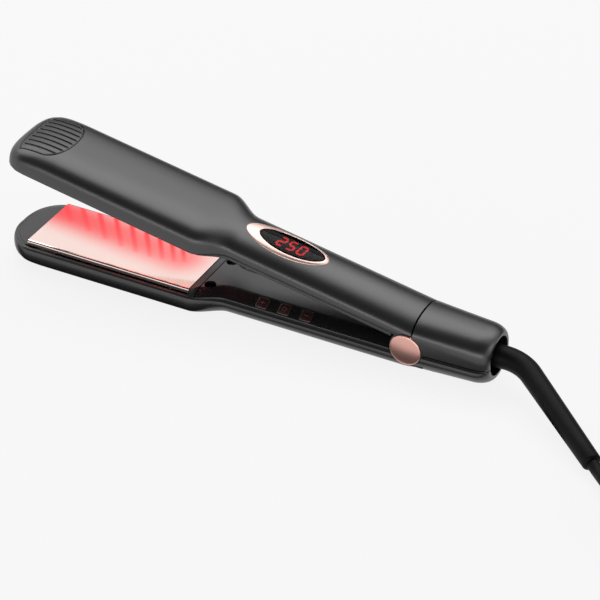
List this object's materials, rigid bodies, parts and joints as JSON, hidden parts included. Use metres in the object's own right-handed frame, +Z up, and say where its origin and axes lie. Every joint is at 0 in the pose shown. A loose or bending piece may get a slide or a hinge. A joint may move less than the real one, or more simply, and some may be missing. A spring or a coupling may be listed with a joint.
{
  "type": "hair straightener",
  "caption": "Two-armed hair straightener with wide floating heated plates, a red light strip, display, buttons on the inner face and a swivel mains cord.",
  "frame": {"origin": "on the table under the middle of the body, without the cord", "axes": "+X from the tips to the tail, +Y across the arms away from the buttons, +Z up from the table"},
  "size_m": [0.5116, 0.1329, 0.0775],
  "materials": {
    "shell_plastic": "dark grey satin, faint mould grain",
    "grip_plastic": "dark grey, fine matt grain with shallow grooves",
    "cover_plastic": "black gloss",
    "frame_plastic": "black heat-proof plastic",
    "button_plastic": "dark rose brown satin",
    "bezel_metal": "polished rose gold",
    "lens_plastic": "black polished",
    "digits": "glowing red",
    "plate_ceramic": "ceramic coat, pale rose, polished",
    "heater_ceramic": "matt pale ceramic",
    "insulator_film": "amber film",
    "steel": "plain steel",
    "bush_plastic": "cream plastic",
    "board": "green solder mask",
    "electronics": "black moulded parts",
    "thermistor": "tan bead",
    "lead_red": "silicone sleeve, red",
    "lead_blue": "silicone sleeve, blue",
    "contact_brass": "bright brass",
    "cord_rubber": "dark grey, satin",
    "tie_rubber": "dark grey",
    "plug_plastic": "black satin",
    "pin_metal": "nickel plate"
  },
  "bodies": {
    "lower_arm": {"lower_shell": "shell_plastic", "tail_cover": "shell_plastic", "tail_screws": "steel", "lower_inner_cover": "cover_plastic", "lower_cover_screws": "steel", "button_board": "board", "tact_switches": "electronics", "main_board": "board", "board_parts": "electronics", "lower_frame": "frame_plastic", "lower_plate_springs": "steel", "lower_leads": "lead_red", "supply_leads": "lead_blue", "hinge_pin": "steel", "hinge_caps": "bezel_metal", "opening_spring": "steel", "hinge_lead": "lead_blue", "brush_contacts": "contact_brass"},
    "upper_arm": {"hinge_bushes": "bush_plastic", "hinge_barrel": "frame_plastic", "barrel_screws": "steel", "upper_shell": "shell_plastic", "grip_panel": "grip_plastic", "upper_inner_cover": "cover_plastic", "upper_cover_screws": "steel", "display_bezel": "bezel_metal", "display_lens": "lens_plastic", "display_module": "electronics", "display_digits": "digits", "display_board": "board", "upper_frame": "frame_plastic", "upper_plate_springs": "steel", "upper_leads": "lead_red", "light_board": "board", "light_emitters": "digits"},
    "lower_plate": {"lower_heater_plate": "plate_ceramic", "lower_ceramic_heater": "heater_ceramic", "lower_insulator": "insulator_film", "lower_heater_clip": "steel", "lower_thermistor": "thermistor"},
    "upper_plate": {"upper_heater_plate": "plate_ceramic", "upper_ceramic_heaters": "heater_ceramic", "upper_insulator": "insulator_film", "upper_heater_clip": "steel", "upper_thermistor": "thermistor"},
    "power_button": {"power_button": "button_plastic"},
    "plus_button": {"plus_button": "button_plastic"},
    "minus_button": {"minus_button": "button_plastic"},
    "swivel": {"slip_rings": "contact_brass", "swivel_collar": "frame_plastic", "cord_sleeve": "cord_rubber", "cord_lead": "cord_rubber", "cord_coil": "cord_rubber", "cord_tie": "tie_rubber", "cord_end": "cord_rubber", "plug_body": "plug_plastic", "plug_pins": "pin_metal"}
  },
  "joints": [
    {"name": "arm_hinge", "type": "hinge", "parent": "lower_arm", "child": "upper_arm", "pos_m": [0.103, 0, 0.0161], "axis": [0, 1, 0], "range_deg": [-10.4, 0], "stiffness_Nm_per_rad": 0.6, "springref_deg": 40.11, "deforming": ["opening_spring", "hinge_lead"]},
    {"name": "lower_plate_float", "type": "slide", "parent": "lower_arm", "child": "lower_plate", "axis": [0, 0, -1], "range_m": [0, 0.001], "stiffness_N_per_m": 2500, "springref_m": -0.0012, "deforming": ["lower_plate_springs", "lower_leads"]},
    {"name": "upper_plate_float", "type": "slide", "parent": "upper_arm", "child": "upper_plate", "axis": [0.1805, 0, 0.9836], "range_m": [0, 0.001], "stiffness_N_per_m": 2500, "springref_m": -0.0012, "deforming": ["upper_plate_springs", "upper_leads"]},
    {"name": "power_button_press", "type": "slide", "parent": "lower_arm", "child": "power_button", "axis": [0, 0.3746, -0.9272], "range_m": [0, 0.0005], "stiffness_N_per_m": 1500, "springref_m": -0.0004},
    {"name": "plus_button_press", "type": "slide", "parent": "lower_arm", "child": "plus_button", "axis": [0, 0.3746, -0.9272], "range_m": [0, 0.0005], "stiffness_N_per_m": 1500, "springref_m": -0.0004},
    {"name": "minus_button_press", "type": "slide", "parent": "lower_arm", "child": "minus_button", "axis": [0, 0.3746, -0.9272], "range_m": [0, 0.0005], "stiffness_N_per_m": 1500, "springref_m": -0.0004},
    {"name": "cord_swivel", "type": "hinge", "parent": "lower_arm", "child": "swivel", "pos_m": [0.14, 0, 0.0171], "axis": [1, 0, 0], "continuous": true}
  ]
}
